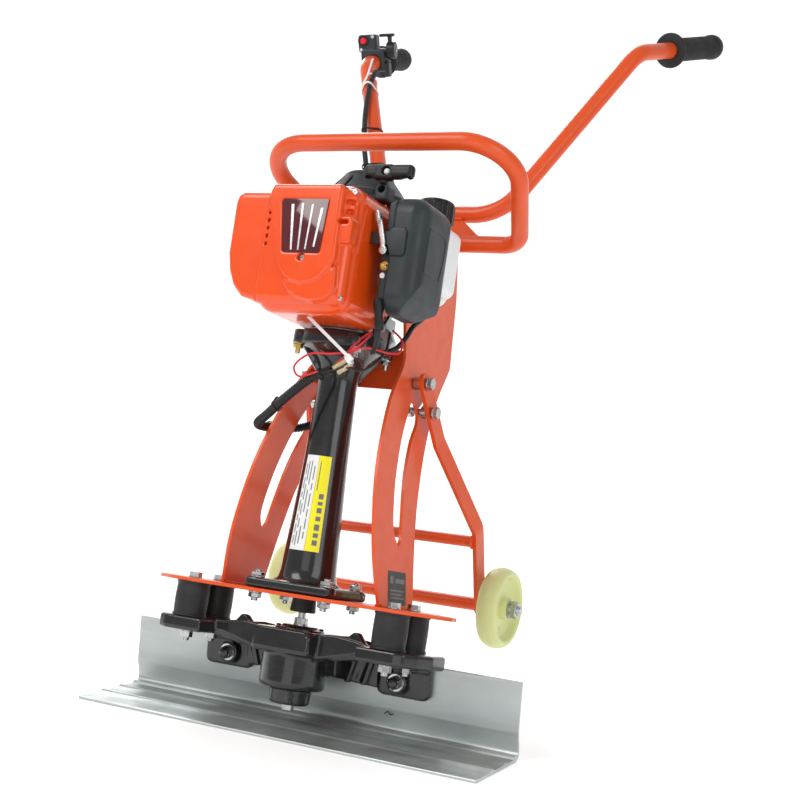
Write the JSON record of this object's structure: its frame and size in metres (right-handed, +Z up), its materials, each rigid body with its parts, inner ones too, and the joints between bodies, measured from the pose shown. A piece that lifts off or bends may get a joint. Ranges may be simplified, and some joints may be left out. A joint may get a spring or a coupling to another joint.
{
  "type": "walk-behind power screed",
  "caption": "Walk-behind vibrating concrete screed: small petrol engine on a drive column, eccentric exciter, aluminium blade, fold-back wheel frame and raised handlebar.",
  "frame": {"origin": "centre of the blade's flat sole, in the length and the depth of the sole, on the floor", "axes": "+X along the blade to the right-hand end, +Y back to the operator, +Z up; the column and frame lean back by 8.7 degrees"},
  "size_m": [0.5404, 0.7093, 0.944],
  "materials": {
    "raw_aluminium": "mill finish, drawn and scratched",
    "black_casting": "gloss black paint over a casting",
    "zinc_steel": "bright zinc plate",
    "bright_steel": "machined steel",
    "black_rubber": "moulded rubber",
    "orange_paint": "gloss powder coat",
    "orange_shroud": "gloss moulded plastic",
    "grey_plastic": "textured moulded plastic",
    "red_plastic": "gloss moulded plastic",
    "nylon": "satin cast nylon, pale yellow",
    "cast_aluminium": "as-cast",
    "tank_plastic": "translucent blow-moulded white",
    "white_ceramic": "glazed"
  },
  "bodies": {
    "frame": {"screed_blade": "raw_aluminium", "exciter_housing": "black_casting", "exciter_top_cover": "black_casting", "exciter_lower_cap": "black_casting", "column": "black_casting", "exciter_drain_plug": "zinc_steel", "ear_bolt_left": "zinc_steel", "ear_bolt_right": "zinc_steel", "mount_bolt_front_left": "zinc_steel", "mount_bolt_front_right": "zinc_steel", "mount_bolt_rear_left": "zinc_steel", "mount_bolt_rear_right": "zinc_steel", "pivot_bolt_left": "zinc_steel", "pivot_bolt_right": "zinc_steel", "exciter_bearing_upper": "bright_steel", "exciter_bearing_lower": "bright_steel", "shaft_bearing_lower": "bright_steel", "shaft_bearing_upper": "bright_steel", "muffler": "bright_steel", "rubber_mount_front_left": "black_rubber", "rubber_mount_front_right": "black_rubber", "rubber_mount_rear_left": "black_rubber", "rubber_mount_rear_right": "black_rubber", "grip_left": "black_rubber", "grip_right": "black_rubber", "base_plate": "orange_paint", "side_plate_left": "orange_paint", "side_plate_right": "orange_paint", "cross_plate": "orange_paint", "carry_loop": "orange_paint", "handlebar": "orange_paint", "bar_web": "orange_paint", "engine_cover": "orange_shroud", "muffler_guard": "orange_shroud", "switch_housing": "grey_plastic", "recoil_housing": "grey_plastic", "air_cleaner_base": "grey_plastic", "air_cleaner_cover": "grey_plastic", "control_conduit": "grey_plastic", "harness_conduit": "grey_plastic", "engine_crankcase": "cast_aluminium", "carburettor": "cast_aluminium", "fuel_tank": "tank_plastic", "spark_plug": "white_ceramic"},
    "drive_line": {"drive_shaft": "bright_steel", "clutch_drum": "bright_steel", "rubber_coupling": "black_rubber", "eccentric_shaft": "bright_steel"},
    "crank": {"crankshaft": "bright_steel", "clutch_shoes": "bright_steel"},
    "wheel_frame": {"wheel_frame": "orange_paint", "clamp_bolt_left": "zinc_steel", "clamp_bolt_right": "zinc_steel"},
    "wheel_left": {"wheel_left": "nylon"},
    "wheel_right": {"wheel_right": "nylon"},
    "starter_grip": {"starter_grip": "grey_plastic"},
    "throttle_lever": {"throttle_lever": "grey_plastic"},
    "stop_button": {"stop_button": "red_plastic"},
    "choke_lever": {"choke_lever": "zinc_steel"},
    "fuel_cap": {"fuel_cap": "grey_plastic"}
  },
  "joints": [
    {"name": "drive_line_spin", "type": "hinge", "parent": "frame", "child": "drive_line", "pos_m": [0, -0.0073, 0.0095], "axis": [0, 0.1513, 0.9885], "continuous": true},
    {"name": "crank_spin", "type": "hinge", "parent": "frame", "child": "crank", "pos_m": [0, -0.0073, 0.0095], "axis": [0, 0.1513, 0.9885], "continuous": true},
    {"name": "wheel_frame_swing", "type": "hinge", "parent": "frame", "child": "wheel_frame", "pos_m": [0, 0.12391, 0.40419], "axis": [1, 0, 0], "range_deg": [0, 35]},
    {"name": "wheel_left_roll", "type": "hinge", "parent": "wheel_frame", "child": "wheel_left", "pos_m": [-0.149, 0.23946, 0.13461], "axis": [1, 0, 0], "continuous": true},
    {"name": "wheel_right_roll", "type": "hinge", "parent": "wheel_frame", "child": "wheel_right", "pos_m": [0.149, 0.23946, 0.13461], "axis": [1, 0, 0], "continuous": true},
    {"name": "starter_pull", "type": "slide", "parent": "frame", "child": "starter_grip", "axis": [0, -0.9223, 0.3865], "range_m": [0, 0.6], "stiffness_N_per_m": 8, "springref_m": -0.3},
    {"name": "throttle_squeeze", "type": "hinge", "parent": "frame", "child": "throttle_lever", "pos_m": [-0.19274, 0.47977, 0.90234], "axis": [0.9751, 0.2133, 0.0613], "range_deg": [0, 35], "stiffness_Nm_per_rad": 0.04, "springref_deg": -28.65},
    {"name": "stop_press", "type": "slide", "parent": "frame", "child": "stop_button", "axis": [-0.2219, 0.9372, 0.2692], "range_m": [0, 0.002], "stiffness_N_per_m": 300, "springref_m": -0.003},
    {"name": "choke_turn", "type": "hinge", "parent": "frame", "child": "choke_lever", "pos_m": [0.079, -0.01313, 0.54656], "axis": [0, 0.9885, -0.1513], "range_deg": [0, 60]},
    {"name": "fuel_cap_turn", "type": "hinge", "parent": "frame", "child": "fuel_cap", "pos_m": [0.07, 0.12992, 0.59548], "axis": [0, 0.1513, 0.9885], "range_deg": [0, 90]}
  ]
}
